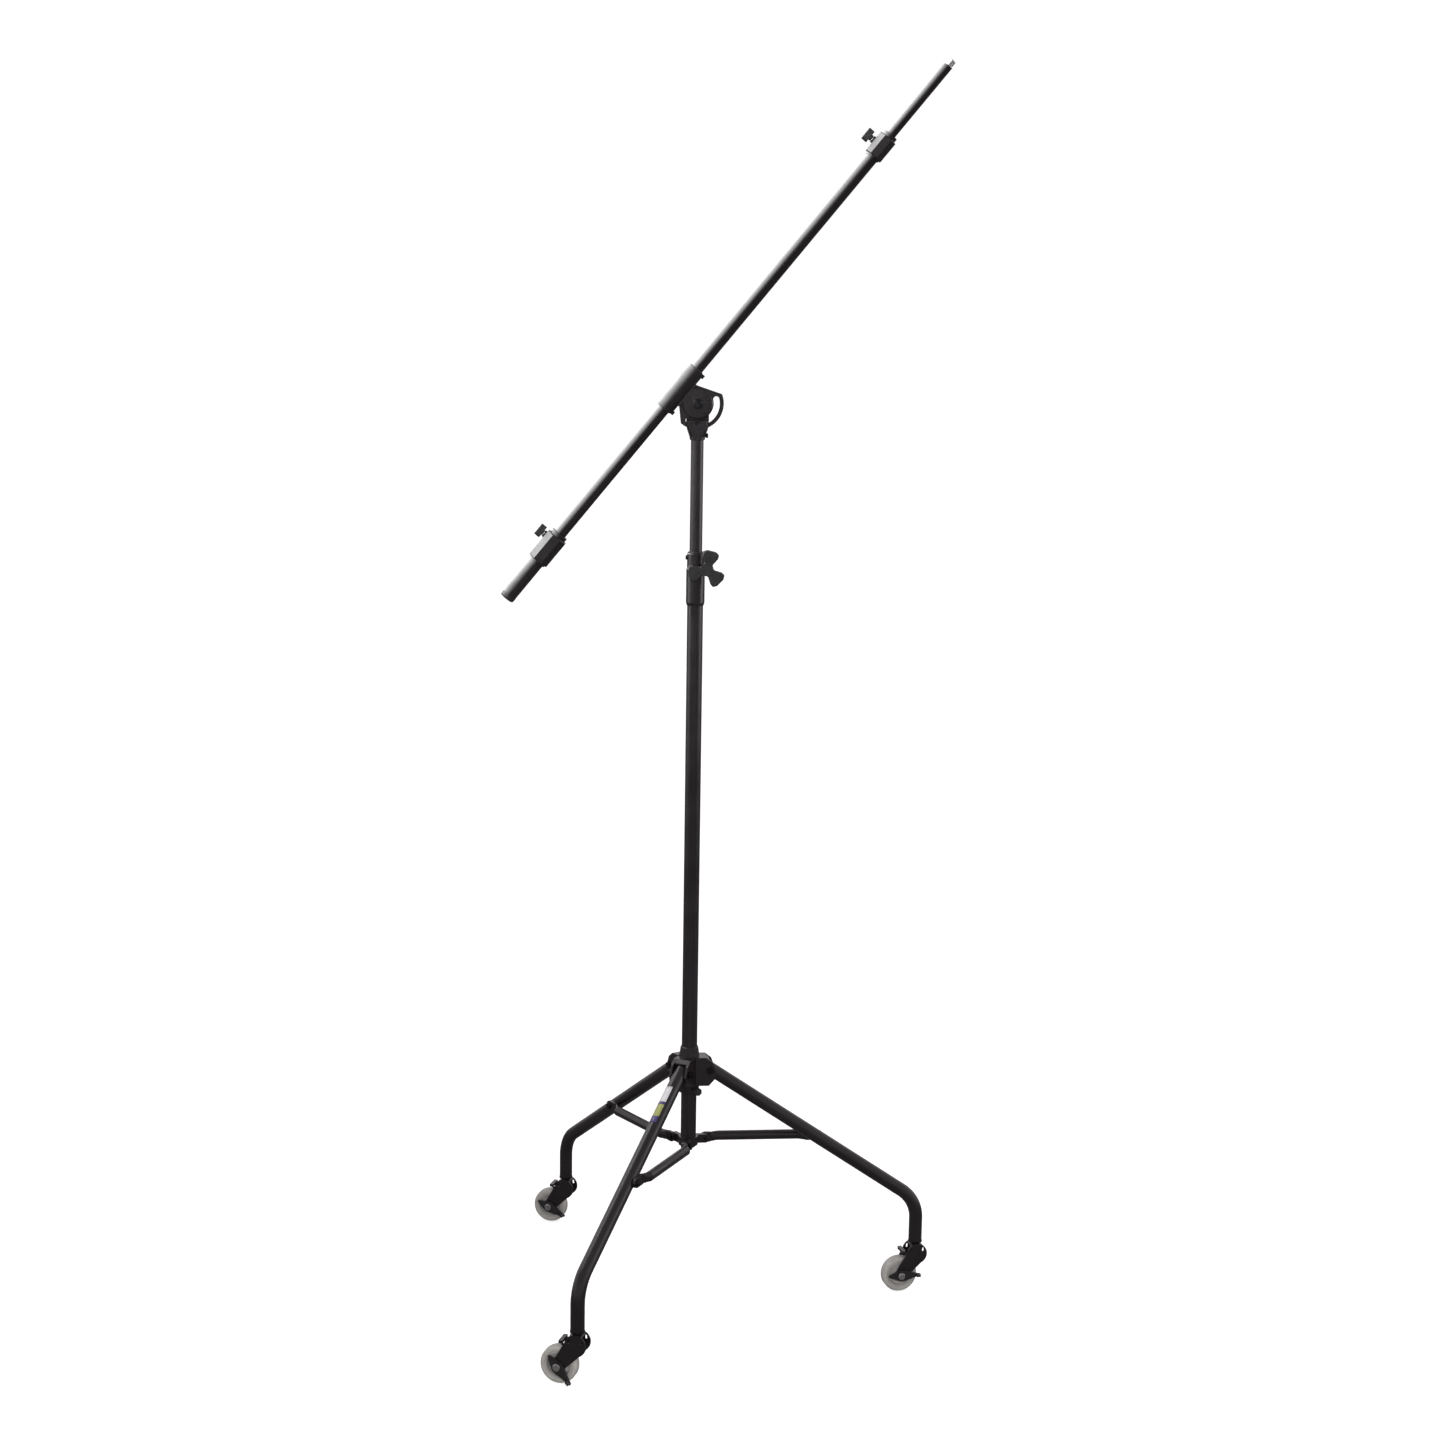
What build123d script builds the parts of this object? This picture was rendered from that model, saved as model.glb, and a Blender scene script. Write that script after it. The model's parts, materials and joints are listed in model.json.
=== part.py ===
"""Boom microphone stand on three casters: one STEP file per physical piece.

Units are millimetres. The origin is on the floor under the column, +Z is up, and the boom lies in the XZ plane
with its microphone end towards +X. Each leg is drawn in its own upright plane and turned about the column.
"""

from build123d import *
from math import acos, atan2, cos, hypot, pi, radians, sin, tan
import os

# ---- fits ----
RUN = 0.06          # radial clearance of a shaft or tube that turns or slides in its hole
GAP = 0.4           # air between pieces that pass each other

# ---- tubes ----
LOWER_R, LOWER_WALL = 16.0, 1.6
UPPER_R, UPPER_WALL = 12.7, 1.5
LEG_R, LEG_WALL = 14.0, 1.5
BRACE_R, BRACE_WALL = 10.0, 1.2
BOOM_R, BOOM_WALL = 12.7, 1.5
EXTENSION_R, EXTENSION_WALL = 9.5, 1.2

# ---- legs and braces ----
LEG_AZIMUTHS = (5.5, 125.5, 245.5)
LEG_SLOPE = 33.66            # below horizontal
LEG_LINE_HEIGHT = 519.4      # where the sloped centre line would meet the column axis
LEG_END_R = 484.0            # column axis to caster stem
LEG_END_Z = 107.6
LEG_BEND_R = 72.0
LEG_PIVOT_R = 42.0
LEG_TAIL = 9.0               # tube beyond the pivot
BRACE_Z = 337.0
BRACKET_PIVOT_R = 36.0
PADDLE_IN, PADDLE_OUT = 14.5, 20.3   # flattened brace end, measured sideways from the leg's plane
PADDLE_R = 10.5
INNER_PADDLE, OUTER_PADDLE = 27.0, 42.0   # bolt to the start of the full round, at the bracket and at the leg
PADDLE_TAPER = 16.0
BRACE_SIDE = PADDLE_IN + BRACE_R       # brace centre line, sideways from the leg's plane
FOLD_ANGLE = 38.0            # how far each leg swings down when the base is folded

# ---- hub ----
HUB_R, HUB_BOTTOM, HUB_SHOULDER, HUB_TOP = 21.0, 441.0, 518.0, 540.0
EAR_THICK = 5.0
HUB_LOCK_Z, HUB_LOCK_AZIMUTH = 449.5, -54.5
PIVOT_BOLT_R = 4.0

# ---- casters ----
WHEEL_R, TYRE_W = 37.5, 22.0
CORE_R = 28.0
TRAIL = 35.0
AXLE_R = 4.0
FORK_GAP, FORK_WALL = 13.4, 2.6      # half the gap between the plates, and a plate's thickness
FORK_TOP_R, FORK_TOP_Z = 22.0, 82.0
CROWN_TOP_Z = 103.6
STEM_R = 5.5
CASTER_AZIMUTHS = (195.0, 165.0, 165.0)   # way each wheel trails
PEDAL_ANGLES = (0.0, 25.0, 50.0)          # how far each brake lever is pressed down

# ---- column and height clutch ----
COLUMN_BOTTOM, COLUMN_TOP = 328.0, 1526.0
CLUTCH_BOTTOM, CLUTCH_STEP, CLUTCH_TOP = 1455.0, 1530.0, 1560.0
CLUTCH_R, CLAMP_R = 18.7, 17.4
BUSH_R = 14.75
CLAMP_X, CLAMP_Z = 23.0, 1530.0
CLUTCH_KNOB_R = 38.0

# ---- upper tube and head ----
UPPER_BOTTOM, UPPER_TOP = 754.0, 1802.0
NECK_BOTTOM = 1784.0
PIVOT_Z = 1856.0
BOOM_ANGLE = 50.8            # above horizontal
BOOM_OFFSET = 45.0           # tilt pivot to boom centre line
DISC_R = 30.0
PLATE_HALF = 3.0
SLOT_IN, SLOT_OUT, RIM_R = 31.5, 43.5, 51.5
SLOT_START, SLOT_END = 13.0, -118.0
LUG_R, LUG_FRONT, LUG_BACK = 25.5, 4.7, 17.0
TILT_BOLT_R = 5.0
STOP_Z = PIVOT_Z - (SLOT_IN + SLOT_OUT) / 2
SWIVEL_Z = NECK_BOTTOM + 9.0
SCREW_FACE_R = 16.0          # spot face of the thumb screw, from the column axis

# ---- boom, measured along it from the point nearest the tilt pivot ----
SADDLE_HALF, SADDLE_R, LINER_R = 50.0, 18.5, 14.6
BOOM_FOOT, BOOM_HEAD = -440.0, 600.0
COLLAR_LOW, COLLAR_HIGH, COLLAR_R = 580.0, 637.0, 18.6
EXTENSION_FOOT, EXTENSION_HEAD = 205.0, 806.0
TIP_END, TIP_R = 820.0, 7.9
WEIGHT_COLLAR_LOW, WEIGHT_COLLAR_HIGH, WEIGHT_COLLAR_R = -447.0, -374.0, 21.5
WEIGHT_LOW, WEIGHT_R, WEIGHT_BORE_R = -534.0, 15.0, 13.2
WEIGHT_PLUG = 40.0           # solid foot of the counterweight
COLLAR_NECK = 3.6            # round neck at each end of a collar, and how far it stands in from the flats
CAP_LOW = -543.0
EXTENSION_KNOB_AT, WEIGHT_KNOB_AT = 608.0, -394.0
KNOB_REACH = 34.0            # boom axis to the middle of a T-knob's bar


# ---------------------------------------------------------------- helpers

def write(name, solids):
    """Writes one node, given one solid or a list of separate ones."""
    shape = Compound(children=list(solids)) if isinstance(solids, (list, tuple)) else solids
    export_step(shape, f"parts/{name}.step")


def cylinder(radius, start, end):
    """A round bar between two points."""
    start, end = Vector(*start), Vector(*end)
    axis = end - start
    plane = Plane(origin=start, z_dir=axis)
    return plane * Cylinder(radius, axis.length, align=(Align.CENTER, Align.CENTER, Align.MIN))


def pipe(outer, inner, start, end):
    """A tube between two points."""
    return cylinder(outer, start, end) - cylinder(inner, start, end)


def turned(profile, axis=Axis.Z):
    """A full turn of a closed outline of (radius, height) points."""
    face = make_face(Plane.XZ * Polyline(*profile, close=True))
    return revolve(face, axis, 360)


def slab(points, low, high, radii=0):
    """An outline in the XZ plane, given as (x, z), made solid from y = low to y = high."""
    wire = Polyline(*points, close=True)
    sketch = make_face(wire)
    if radii:
        sketch = fillet(sketch.vertices(), radii)
    flat = Plane(origin=(0, low, 0), x_dir=(1, 0, 0), z_dir=(0, -1, 0)) * sketch
    return extrude(flat, high - low, dir=(0, 1, 0))


def disc(radius, x, z, low, high):
    """A round plate across Y."""
    return cylinder(radius, (x, low, z), (x, high, z))


def hexagon(across, start, end, bore=0.0):
    """A hexagonal nut or bolt head between two points."""
    start, end = Vector(*start), Vector(*end)
    plane = Plane(origin=start, z_dir=end - start)
    head = plane * extrude(RegularPolygon(across / 2, 6, major_radius=False), (end - start).length)
    if bore:
        head -= cylinder(bore, start, end)
    return head


def about_column(shape, azimuth):
    """Turns a piece drawn in the plane of azimuth 0 about the column."""
    return shape.rotate(Axis.Z, azimuth)


def boom_point(along, out=0.0, side=0.0):
    """A point given along the boom, out from its centre line on the side away from the pivot, and across."""
    lean = radians(BOOM_ANGLE)
    reach = BOOM_OFFSET + out
    return (along * cos(lean) - reach * sin(lean), side, PIVOT_Z + along * sin(lean) + reach * cos(lean))


def boom_bar(radius, low, high, out=0.0, side=0.0):
    return cylinder(radius, boom_point(low, out, side), boom_point(high, out, side))


def boom_pipe(outer, inner, low, high):
    return boom_bar(outer, low, high) - boom_bar(inner, low - 0.01, high + 0.01)


def boom_turned(profile):
    """A full turn about the boom of an outline of (radius, distance along) points."""
    solid = turned([(radius, along) for radius, along in profile])
    return solid.rotate(Axis.Y, 90 - BOOM_ANGLE).translate(Vector(*boom_point(0)))


# ---------------------------------------------------------------- base

def leg_line_z(radius):
    return LEG_LINE_HEIGHT - tan(radians(LEG_SLOPE)) * radius


LEG_PIVOT_Z = leg_line_z(LEG_PIVOT_R)
JOINT_R = (LEG_LINE_HEIGHT - BRACE_Z) / tan(radians(LEG_SLOPE))


def leg():
    """A round tube: a long slope, one bend and a short drop to the caster."""
    down = Vector(cos(radians(LEG_SLOPE)), 0, -sin(radians(LEG_SLOPE)))
    start = Vector(LEG_PIVOT_R, 0, LEG_PIVOT_Z) - down * LEG_TAIL
    corner = (LEG_END_R, 0, leg_line_z(LEG_END_R))
    path = FilletPolyline(start, corner, (LEG_END_R, 0, LEG_END_Z), radius=LEG_BEND_R)
    plane = Plane(origin=start, x_dir=(0, 1, 0), z_dir=down)
    outer = sweep(plane * Circle(LEG_R), path)
    inner = sweep(plane * Circle(LEG_R - LEG_WALL), path)
    tube = outer - inner
    across = 2 * LEG_R
    pivot = (LEG_PIVOT_R, LEG_PIVOT_Z)
    return tube - disc(PIVOT_BOLT_R + RUN, *pivot, -across, across)


def brace():
    """A thin tube with flattened ends that lie beside the leg and beside the bracket's lug."""
    tube = pipe(BRACE_R, BRACE_R - BRACE_WALL, (BRACKET_PIVOT_R + INNER_PADDLE - 4, BRACE_SIDE, BRACE_Z),
                (JOINT_R - OUTER_PADDLE + 4, BRACE_SIDE, BRACE_Z))
    for pivot_r, inward, length in ((BRACKET_PIVOT_R, 1, INNER_PADDLE), (JOINT_R, -1, OUTER_PADDLE)):
        tube += brace_end(pivot_r, inward, length)
    tube -= disc(PIVOT_BOLT_R + RUN, BRACKET_PIVOT_R, BRACE_Z, PADDLE_IN - 1, PADDLE_OUT + 1)
    return tube - disc(PIVOT_BOLT_R, JOINT_R, BRACE_Z, PADDLE_IN - 1, PADDLE_OUT + 1)


def brace_end(pivot_r, inward, length):
    """The flattened end: a paddle about its bolt, drawn out into the full round of the tube."""
    neck = pivot_r + inward * (length - PADDLE_TAPER)
    full = pivot_r + inward * length
    paddle = disc(PADDLE_R, pivot_r, BRACE_Z, PADDLE_IN, PADDLE_OUT)
    left, right = min(pivot_r, neck), max(pivot_r, neck)
    paddle += Pos((left + right) / 2, (PADDLE_IN + PADDLE_OUT) / 2, BRACE_Z) * Box(
        right - left, PADDLE_OUT - PADDLE_IN, 2 * PADDLE_R)
    flat = Plane(origin=(neck, (PADDLE_IN + PADDLE_OUT) / 2, BRACE_Z), x_dir=(0, 1, 0), z_dir=(inward, 0, 0))
    round_end = Plane(origin=(full, BRACE_SIDE, BRACE_Z), x_dir=(0, 1, 0), z_dir=(inward, 0, 0))
    flat_section = flat * RectangleRounded(PADDLE_OUT - PADDLE_IN, 2 * PADDLE_R, 2.8)
    return paddle + loft([flat_section, round_end * Circle(BRACE_R)])


def brace_bolt():
    """Round-headed bolt in the outer end of a brace. It stops at the leg's side."""
    shank = disc(PIVOT_BOLT_R, JOINT_R, BRACE_Z, PADDLE_IN, PADDLE_OUT)
    washer = disc(8.0, JOINT_R, BRACE_Z, PADDLE_OUT, PADDLE_OUT + 1.0)
    head = disc(6.4, JOINT_R, BRACE_Z, PADDLE_OUT + 1.0, PADDLE_OUT + 4.4)
    head = fillet(head.edges().sort_by(Axis.Y)[-1], 2.2)
    return shank + washer + head


def bracket_bolt():
    shank = disc(PIVOT_BOLT_R, BRACKET_PIVOT_R, BRACE_Z, 4.0, PADDLE_OUT + 0.3)
    inner, outer = PADDLE_OUT + 0.3, PADDLE_OUT + 4.6
    return shank + hexagon(13.0, (BRACKET_PIVOT_R, inner, BRACE_Z), (BRACKET_PIVOT_R, outer, BRACE_Z))


def lower_bracket():
    """Ring round the foot of the column with a lug beside each brace."""
    low, high = BRACE_Z - 9.0, BRACE_Z + 9.0
    ring = pipe(LOWER_R + 4.0, LOWER_R, (0, 0, low), (0, 0, high))
    for azimuth in LEG_AZIMUTHS:
        ring += about_column(bracket_lug(), azimuth)
    return ring - cylinder(LOWER_R, (0, 0, low), (0, 0, high))


def bracket_lug():
    inner, outer = 4.6, PADDLE_IN - GAP
    middle = ((12 + BRACKET_PIVOT_R) / 2, (inner + outer) / 2, BRACE_Z)
    arm = Pos(*middle) * Box(BRACKET_PIVOT_R - 12, outer - inner, 18)
    lug = arm + disc(9.0, BRACKET_PIVOT_R, BRACE_Z, inner, outer)
    return lug - disc(PIVOT_BOLT_R, BRACKET_PIVOT_R, BRACE_Z, inner - 1, outer + 1)


def ear_outline():
    """Side outline of a hub ear round the leg's pivot, as (radius, height) points."""
    top = HUB_SHOULDER
    return [(12, top + 1), (34, top + 1), (47, top - 9), (55, top - 30), (53, top - 44), (40, top - 59),
            (12, top - 59)]


def hub_collar():
    """Casting that slides on the column, with a pair of ears for each leg."""
    profile = [(HUB_R - 2.5, HUB_BOTTOM), (HUB_R, HUB_BOTTOM + 2), (HUB_R, HUB_SHOULDER + 2),
               (LOWER_R + 2.2, HUB_TOP - 1), (LOWER_R + 1.2, HUB_TOP), (0, HUB_TOP), (0, HUB_BOTTOM)]
    hub = turned(profile)
    inner = LEG_R + GAP
    for azimuth in LEG_AZIMUTHS:
        for side in (-1, 1):
            low, high = sorted((side * inner, side * (inner + EAR_THICK)))
            ear = slab(ear_outline(), low, high, 4.0)
            hub += about_column(ear, azimuth)
    for azimuth in LEG_AZIMUTHS:
        hub -= about_column(leg_pocket(), azimuth)
    for azimuth in LEG_AZIMUTHS:
        hub += about_column(leg_hood(), azimuth)
    hub -= cylinder(LOWER_R + RUN, (0, 0, HUB_BOTTOM - 1), (0, 0, HUB_TOP + 1))
    for azimuth in LEG_AZIMUTHS:
        hub -= about_column(disc(PIVOT_BOLT_R, LEG_PIVOT_R, LEG_PIVOT_Z, -40, 40), azimuth)
    lock = polar(HUB_LOCK_AZIMUTH, 15, HUB_LOCK_Z), polar(HUB_LOCK_AZIMUTH, 60, HUB_LOCK_Z)
    return hub - cylinder(PIVOT_BOLT_R + RUN, *lock)


def leg_pocket():
    """Clear space between a pair of ears."""
    inner = LEG_R + GAP
    return Pos(HUB_R + 2.2 + 25, 0, HUB_SHOULDER - 35) * Box(50, 2 * inner, 80)


def leg_hood():
    """Web over the top of a leg's end, joining its two ears."""
    outer = LEG_R + GAP + 2.0
    top = HUB_SHOULDER
    outline = [(HUB_R - 4, top + 1), (33, top + 1), (41, top - 5.5), (41, top - 8.5), (HUB_R - 4, top - 8.5)]
    return slab(outline, -outer, outer)


def polar(azimuth, radius, height):
    return (radius * cos(radians(azimuth)), radius * sin(radians(azimuth)), height)


def leg_pivot_bolt():
    end = LEG_R + GAP + EAR_THICK
    shank = disc(PIVOT_BOLT_R, LEG_PIVOT_R, LEG_PIVOT_Z, -end, end)
    head = hexagon(13.0, (LEG_PIVOT_R, -end, LEG_PIVOT_Z), (LEG_PIVOT_R, -end - 5, LEG_PIVOT_Z))
    nut = hexagon(13.0, (LEG_PIVOT_R, end, LEG_PIVOT_Z), (LEG_PIVOT_R, end + 6, LEG_PIVOT_Z))
    return shank + head + nut


def hub_lock_screw():
    """Short thumb screw that grips the column below the ears."""
    def at(radius):
        return polar(HUB_LOCK_AZIMUTH, radius, HUB_LOCK_Z)
    screw = cylinder(PIVOT_BOLT_R, at(LOWER_R + 0.2), at(27))
    head = cylinder(8.0, at(24.5), at(36))
    for step in range(8):
        turn = radians(45 * step)
        across = Vector(-sin(radians(HUB_LOCK_AZIMUTH)), cos(radians(HUB_LOCK_AZIMUTH)), 0) * cos(turn)
        offset = (across + Vector(0, 0, 1) * sin(turn)) * 9.0
        head -= cylinder(1.8, Vector(*at(24)) + offset, Vector(*at(37)) + offset)
    return screw + head


# ---------------------------------------------------------------- casters, drawn at the column axis

def place_caster(shape, index):
    """Turns a caster piece to its trailing direction and carries it to its leg."""
    x, y, _ = polar(LEG_AZIMUTHS[index], LEG_END_R, 0)
    return shape.rotate(Axis.Z, CASTER_AZIMUTHS[index]).translate(Vector(x, y, 0))


def caster_stem():
    """Plug in the leg, a collar under the tube's end and the swivel stem with its riveted foot."""
    profile = [(0, LEG_END_Z + 42), (LEG_R - LEG_WALL - 1, LEG_END_Z + 42), (LEG_R - LEG_WALL, LEG_END_Z + 41),
               (LEG_R - LEG_WALL, LEG_END_Z), (LEG_R + 0.8, LEG_END_Z), (LEG_R + 0.8, LEG_END_Z - 2.4),
               (LEG_R - 1.0, LEG_END_Z - 3.4), (STEM_R, LEG_END_Z - 3.4), (STEM_R, 84.4), (8.0, 84.4), (8.0, 81.4),
               (6.8, 80.2), (0, 80.2)]
    return turned(profile)


def fork_outline():
    """Side outline of a fork plate: round over the stem and drawn down to the axle."""
    top = disc(FORK_TOP_R, 0, FORK_TOP_Z, -1, 1)
    boss = disc(13.0, TRAIL, WHEEL_R, -1, 1)
    lean = atan2(FORK_TOP_Z - WHEEL_R, -TRAIL)
    span = hypot(TRAIL, FORK_TOP_Z - WHEEL_R)
    tilt = acos((FORK_TOP_R - 13.0) / span)
    points = []
    for side in (1, -1):
        turn = lean + side * (pi - tilt)
        points.append((TRAIL - 13.0 * cos(turn), WHEEL_R - 13.0 * sin(turn)))
    for side in (-1, 1):
        turn = lean + side * (pi - tilt)
        points.append((-FORK_TOP_R * cos(turn), FORK_TOP_Z - FORK_TOP_R * sin(turn)))
    return top + boss + slab(points, -1, 1)


def caster_fork():
    """Pressed fork: two side plates with turned rims, a crown plate, a bearing housing and a guard lip."""
    plates = None
    blank = fork_outline()
    for side in (-1, 1):
        low, high = sorted((side * FORK_GAP, side * (FORK_GAP + FORK_WALL)))
        plate = stretched(blank, low, high)
        plate -= fork_windows(low, high)
        plates = plate if plates is None else plates + plate
    reach = FORK_GAP + FORK_WALL
    crown = cylinder(FORK_TOP_R + 4, (0, 0, CROWN_TOP_Z - 4.0), (0, 0, CROWN_TOP_Z))
    crown &= Pos(0, 0, CROWN_TOP_Z) * Box(80, 2 * reach, 40)
    crown &= stretched(fork_outline(), -reach, reach)
    housing = cylinder(9.6, (0, 0, 86.0), (0, 0, CROWN_TOP_Z))
    web = Pos(0, 0, 95) * Box(7.0, 2 * FORK_GAP + 1, 14)
    guard = Pos(29.0, 0, 87.5) * Box(8.0, 2 * reach, 6.0)
    arm = Pos(22.5, 0, 83.5) * Box(9.0, 2 * reach, 4.0)
    arm -= Pos(22.5, 0, 83.5) * Box(20.0, 2 * FORK_GAP, 20.0)
    fork = plates + crown + housing + web + guard + arm
    fork -= cylinder(STEM_R + RUN, (0, 0, 70), (0, 0, 120))
    return fork - disc(AXLE_R, TRAIL, WHEEL_R, -reach - 1, reach + 1)


def stretched(blank, low, high):
    """The same upright outline at another thickness across Y."""
    face = blank.faces().sort_by(Axis.Y)[0]
    thin = extrude(face, high - low, dir=(0, 1, 0))
    return thin.translate(Vector(0, low - thin.bounding_box().min.Y, 0))


def fork_windows(low, high):
    """Two kidney windows beside the stem."""
    cut = None
    for side in (-1, 1):
        corners = [(side * 10.8, 87), (side * 15.4, 87), (side * 14.4, 94.2), (side * 10.8, 96.6)]
        hole = slab(corners, low - 1, high + 1, 1.6)
        cut = hole if cut is None else cut + hole
    return cut


def caster_axle():
    reach = FORK_GAP + FORK_WALL
    shank = disc(AXLE_R, TRAIL, WHEEL_R, -reach - 5.0, reach + 5.6)
    head = disc(7.5, TRAIL, WHEEL_R, reach + 5.6, reach + 9.0)
    head = fillet(head.edges().sort_by(Axis.Y)[-1], 1.8)
    nut = hexagon(13.0, (TRAIL, -reach, WHEEL_R), (TRAIL, -reach - 6.0, WHEEL_R))
    return head + (shank + nut)


def caster_wheel():
    """Wheel core with a recessed web on each face."""
    half = TYRE_W / 2 - 1
    hub_half = FORK_GAP - 0.3
    profile = [(AXLE_R + RUN, -hub_half), (9.0, -hub_half), (9.6, -hub_half + 1), (10.5, -4), (22.5, -4), (24.0, -half),
               (CORE_R, -half), (CORE_R, half), (24.0, half), (22.5, 4), (10.5, 4), (9.6, hub_half - 1), (9.0, hub_half),
               (AXLE_R + RUN, hub_half)]
    return wheel_turn(profile)


def caster_tyre():
    half = TYRE_W / 2
    profile = [(CORE_R, -half + 0.8), (CORE_R + 1.5, -half), (WHEEL_R - 4.0, -half), (WHEEL_R - 1.2, -half + 1.6),
               (WHEEL_R, -half + 5.0), (WHEEL_R, half - 5.0), (WHEEL_R - 1.2, half - 1.6), (WHEEL_R - 4.0, half),
               (CORE_R + 1.5, half), (CORE_R, half - 0.8)]
    return wheel_turn(profile)


def wheel_turn(profile):
    solid = turned(profile)
    return solid.rotate(Axis.X, 90).translate(Vector(TRAIL, 0, WHEEL_R))


def brake_pedal(angle):
    """Pointed lever on the axle, outside the fork, with a shorter pointed tail."""
    low = FORK_GAP + FORK_WALL + 0.6
    high = low + 4.4
    points = [(TRAIL + 27, WHEEL_R - 1), (TRAIL + 27, WHEEL_R + 2), (TRAIL + 12, WHEEL_R + 8), (TRAIL, WHEEL_R + 12),
              (TRAIL - 12, WHEEL_R + 10), (TRAIL - 28, WHEEL_R + 5), (TRAIL - 43, WHEEL_R + 1.5),
              (TRAIL - 43, WHEEL_R - 1.5), (TRAIL - 28, WHEEL_R - 5), (TRAIL - 12, WHEEL_R - 10),
              (TRAIL, WHEEL_R - 12), (TRAIL + 12, WHEEL_R - 8)]
    lever = slab(points, low, high, 1.2)
    pad = Pos(TRAIL - 36, (low + high) / 2 + 4.0, WHEEL_R) * Box(9.0, high - low + 8.0, 4.0)
    lever = lever + fillet(pad.edges().filter_by(Axis.Y), 1.2)
    lever -= disc(AXLE_R + RUN, TRAIL, WHEEL_R, low - 1, high + 12)
    return lever.rotate(Axis(origin=(TRAIL, 0, WHEEL_R), direction=(0, -1, 0)), angle)


# ---------------------------------------------------------------- column and clutch

def column_plug():
    """Plastic plug in the foot of the column."""
    inside = LOWER_R - LOWER_WALL
    low = COLUMN_BOTTOM
    return turned([(0, low - 5), (LOWER_R - 2, low - 5), (LOWER_R, low - 3), (LOWER_R, low), (inside, low),
                   (inside, low + 18), (inside - 2, low + 20), (inside - 4, low + 20), (inside - 4, low + 2), (0, low + 2)])


def clutch_housing():
    """Sleeve on the column's top with a split clamp and two ears above it."""
    profile = [(LOWER_R, CLUTCH_BOTTOM), (LOWER_R + 1, CLUTCH_BOTTOM), (CLUTCH_R, CLUTCH_BOTTOM + 6),
               (CLUTCH_R, CLUTCH_STEP - 2), (CLAMP_R, CLUTCH_STEP + 1), (CLAMP_R, CLUTCH_TOP - 1.5),
               (CLAMP_R - 1.5, CLUTCH_TOP), (BUSH_R, CLUTCH_TOP), (BUSH_R, COLUMN_TOP), (LOWER_R, COLUMN_TOP)]
    housing = turned(profile)
    ears = Pos((14 + 34) / 2, 0, CLAMP_Z + 7) * Box(34 - 14, 22, 34)
    ears = fillet(ears.edges().filter_by(Axis.Y).group_by(Axis.X)[-1], 7.0)
    ears = fillet(ears.faces().sort_by(Axis.X)[-1].edges().filter_by(Axis.Z), 1.5)
    housing += ears
    housing -= cylinder(BUSH_R, (0, 0, COLUMN_TOP), (0, 0, CLUTCH_TOP + 1))
    housing -= cylinder(LOWER_R, (0, 0, CLUTCH_BOTTOM - 1), (0, 0, COLUMN_TOP))
    housing -= Pos(30, 0, CLAMP_Z + 12) * Box(34, 2.0, 60)
    return housing - disc(4.0 + RUN, CLAMP_X, CLAMP_Z, -20, 20)


def clutch_bush():
    """Split plastic bush that grips the upper tube."""
    bush = pipe(BUSH_R, UPPER_R + RUN, (0, 0, COLUMN_TOP), (0, 0, CLUTCH_TOP - 1))
    bush += pipe(CLAMP_R - 1.2, UPPER_R + RUN, (0, 0, CLUTCH_TOP), (0, 0, CLUTCH_TOP + 2.4))
    bush += pipe(BUSH_R, UPPER_R + RUN, (0, 0, CLUTCH_TOP - 1), (0, 0, CLUTCH_TOP))
    return bush - Pos(-15, 0, (COLUMN_TOP + CLUTCH_TOP) / 2) * Box(12, 2.0, 60)


def clutch_fasteners():
    nut = hexagon(15.0, (CLAMP_X, 11.0, CLAMP_Z), (CLAMP_X, 18.0, CLAMP_Z), 4.0 + RUN)
    rivet = cylinder(4.5, (-CLAMP_R + 0.6, 0, 1551), (-CLAMP_R - 3.0, 0, 1551))
    rivet -= cylinder(CLAMP_R, (0, 0, 1540), (0, 0, 1560))
    return [nut, rivet]


def clutch_bolt():
    shank = disc(4.0, CLAMP_X, CLAMP_Z, -24, 21)
    washer = pipe(8.0, 4.0, (CLAMP_X, -12.9, CLAMP_Z), (CLAMP_X, -11.3, CLAMP_Z))
    return shank + washer


def clutch_knob():
    """Three-winged hand knob."""
    low, high = -33.0, -20.0
    knob = disc(13.0, CLAMP_X, CLAMP_Z, low - 2, high) + disc(9.0, CLAMP_X, CLAMP_Z, high, -13.0)
    for turn in (76.0, -44.0, -164.0):
        wing = knob_wing(low, high)
        knob += wing.rotate(Axis((CLAMP_X, 0, CLAMP_Z), (0, -1, 0)), turn)
    return knob - disc(4.0, CLAMP_X, CLAMP_Z, -24.0, -12.0)


def knob_wing(low, high):
    """One wing, drawn along +X from the knob's centre."""
    rim = CLUTCH_KNOB_R
    outline = [(0, -9), (13, -9.5), (rim - 13, -16), (rim - 5, -16.5), (rim - 0.5, -9), (rim - 0.5, 9),
               (rim - 5, 16.5), (rim - 13, 16), (13, 9.5), (0, 9)]
    points = [(CLAMP_X + x, CLAMP_Z + z) for x, z in outline]
    wing = slab(points, low, high, 3.0)
    rims = wing.faces().sort_by(Axis.Y)[0].edges()
    return chamfer(rims, 2.2)


# ---------------------------------------------------------------- upper tube and head

def upper_tube():
    return pipe(UPPER_R, UPPER_R - UPPER_WALL, (0, 0, UPPER_BOTTOM), (0, 0, UPPER_TOP))


def guide_bush():
    """Plastic ring on the foot of the upper tube that runs inside the column."""
    inside = LOWER_R - LOWER_WALL
    low = UPPER_BOTTOM - 4
    return turned([(UPPER_R - UPPER_WALL - 3, low), (inside - 1, low), (inside - RUN, low + 1), (inside - RUN, low + 30),
                   (UPPER_R + 0.6, low + 31), (UPPER_R, low + 31), (UPPER_R, low + 4), (UPPER_R - UPPER_WALL - 3, low + 4)])


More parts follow.
